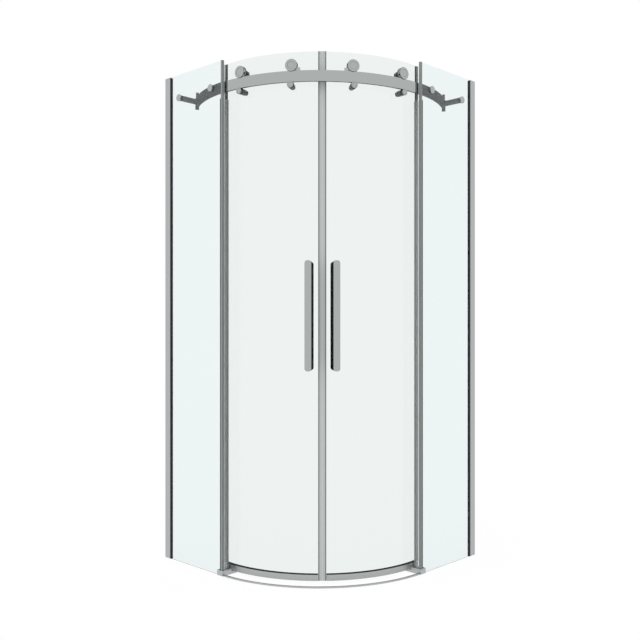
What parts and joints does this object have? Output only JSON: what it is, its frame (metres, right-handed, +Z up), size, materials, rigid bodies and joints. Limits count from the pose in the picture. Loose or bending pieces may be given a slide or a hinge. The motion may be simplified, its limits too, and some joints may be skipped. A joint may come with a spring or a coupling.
{
  "type": "corner shower enclosure",
  "caption": "Quarter-round glass corner shower enclosure with flat fixed panels and curved doors that slide on an exposed curved rail.",
  "frame": {"origin": "on the floor, at the centre of the 900 mm square that the enclosure covers; the walls are the planes x = -0.45 and y = +0.45", "axes": "+Z up; +X away from the left wall, -Y away from the back wall, so the doors face the (+X, -Y) diagonal"},
  "size_m": [0.9, 0.9, 1.95],
  "materials": {
    "clear_glass": "clear toughened float glass",
    "polished_steel": "polished stainless steel",
    "polished_aluminium": "satin anodised extrusion",
    "wheel_steel": "turned stainless steel",
    "black_rubber": "extruded dark grey rubber",
    "magnet": "flexible ferrite strip",
    "clear_vinyl": "clear soft vinyl",
    "grey_vinyl": "grey extruded vinyl",
    "black_acetal": "turned dark acetal",
    "white_nylon": "moulded nylon"
  },
  "bodies": {
    "fixed_frame": {"closing_stops": "polished_steel", "end_stop_bumpers": "black_rubber", "guide_liners": "white_nylon", "left_edge_profile": "grey_vinyl", "left_end_stop": "polished_steel", "left_fixed_glass": "clear_glass", "left_floor_guide": "polished_aluminium", "left_glazing_gasket": "black_rubber", "left_overlap_seal": "clear_vinyl", "left_rail_rod": "polished_steel", "left_wall_profile": "polished_aluminium", "profile_caps": "polished_aluminium", "rail_fixing_caps": "polished_steel", "rail_fixing_studs": "polished_steel", "rail_fixing_washers": "clear_vinyl", "rail_spacers": "polished_steel", "right_edge_profile": "grey_vinyl", "right_end_stop": "polished_steel", "right_fixed_glass": "clear_glass", "right_floor_guide": "polished_aluminium", "right_glazing_gasket": "black_rubber", "right_overlap_seal": "clear_vinyl", "right_rail_rod": "polished_steel", "right_wall_profile": "polished_aluminium", "roller_rail": "polished_steel", "threshold_strip": "polished_aluminium"},
    "left_door": {"left_door_glass": "clear_glass", "left_meeting_seal": "grey_vinyl", "left_seal_magnet": "magnet", "left_trailing_seal": "grey_vinyl", "left_bottom_profile": "polished_aluminium", "left_bottom_gasket": "black_rubber", "left_outer_handle": "polished_steel", "left_inner_handle": "polished_steel", "left_handle_bolts": "polished_steel", "left_roller_axles": "polished_steel", "left_axle_bushes": "black_acetal", "left_axle_caps": "polished_steel", "left_glass_washers": "clear_vinyl"},
    "right_door": {"right_door_glass": "clear_glass", "right_meeting_seal": "grey_vinyl", "right_seal_magnet": "magnet", "right_trailing_seal": "grey_vinyl", "right_bottom_profile": "polished_aluminium", "right_bottom_gasket": "black_rubber", "right_outer_handle": "polished_steel", "right_inner_handle": "polished_steel", "right_handle_bolts": "polished_steel", "right_roller_axles": "polished_steel", "right_axle_bushes": "black_acetal", "right_axle_caps": "polished_steel", "right_glass_washers": "clear_vinyl"},
    "left_lead_roller": {"left_lead_roller": "wheel_steel"},
    "left_lead_keeper": {"left_lead_keeper": "wheel_steel"},
    "left_tail_roller": {"left_tail_roller": "wheel_steel"},
    "left_tail_keeper": {"left_tail_keeper": "wheel_steel"},
    "right_lead_roller": {"right_lead_roller": "wheel_steel"},
    "right_lead_keeper": {"right_lead_keeper": "wheel_steel"},
    "right_tail_roller": {"right_tail_roller": "wheel_steel"},
    "right_tail_keeper": {"right_tail_keeper": "wheel_steel"}
  },
  "joints": [
    {"name": "left_door_slide", "type": "hinge", "parent": "fixed_frame", "child": "left_door", "pos_m": [-0.092, 0.092, 0], "axis": [0, 0, -1], "range_deg": [0, 35.5]},
    {"name": "left_lead_roller_spin", "type": "hinge", "parent": "left_door", "child": "left_lead_roller", "pos_m": [0.18778, -0.34632, 1.8923], "axis": [0.538, -0.8429, 0], "range_deg": [0, 927]},
    {"name": "left_lead_keeper_spin", "type": "hinge", "parent": "left_door", "child": "left_lead_keeper", "pos_m": [0.18471, -0.34826, 1.8227], "axis": [-0.5321, 0.8467, 0], "range_deg": [0, 2056]},
    {"name": "left_tail_roller_spin", "type": "hinge", "parent": "left_door", "child": "left_tail_roller", "pos_m": [-0.00886, -0.42131, 1.8923], "axis": [0.1599, -0.9871, 0], "range_deg": [0, 927]},
    {"name": "left_tail_keeper_spin", "type": "hinge", "parent": "left_door", "child": "left_tail_keeper", "pos_m": [-0.01245, -0.42188, 1.8227], "axis": [-0.153, 0.9882, 0], "range_deg": [0, 2056]},
    {"name": "right_door_slide", "type": "hinge", "parent": "fixed_frame", "child": "right_door", "pos_m": [-0.092, 0.092, 0], "axis": [0, 0, 1], "range_deg": [0, 35.5]},
    {"name": "right_lead_roller_spin", "type": "hinge", "parent": "right_door", "child": "right_lead_roller", "pos_m": [0.34632, -0.18778, 1.8923], "axis": [-0.8429, 0.538, 0], "range_deg": [0, 927]},
    {"name": "right_lead_keeper_spin", "type": "hinge", "parent": "right_door", "child": "right_lead_keeper", "pos_m": [0.34826, -0.18471, 1.8227], "axis": [0.8467, -0.5321, 0], "range_deg": [0, 2056]},
    {"name": "right_tail_roller_spin", "type": "hinge", "parent": "right_door", "child": "right_tail_roller", "pos_m": [0.42131, 0.00886, 1.8923], "axis": [-0.9871, 0.1599, 0], "range_deg": [0, 927]},
    {"name": "right_tail_keeper_spin", "type": "hinge", "parent": "right_door", "child": "right_tail_keeper", "pos_m": [0.42188, 0.01245, 1.8227], "axis": [0.9882, -0.153, 0], "range_deg": [0, 2056]}
  ],
  "couplings": [
    {"joint": "left_lead_roller_spin", "follows": "left_door_slide", "ratio": 26},
    {"joint": "left_lead_keeper_spin", "follows": "left_door_slide", "ratio": 57.778},
    {"joint": "left_tail_roller_spin", "follows": "left_door_slide", "ratio": 26},
    {"joint": "left_tail_keeper_spin", "follows": "left_door_slide", "ratio": 57.778},
    {"joint": "right_lead_roller_spin", "follows": "right_door_slide", "ratio": 26},
    {"joint": "right_lead_keeper_spin", "follows": "right_door_slide", "ratio": 57.778},
    {"joint": "right_tail_roller_spin", "follows": "right_door_slide", "ratio": 26},
    {"joint": "right_tail_keeper_spin", "follows": "right_door_slide", "ratio": 57.778}
  ]
}
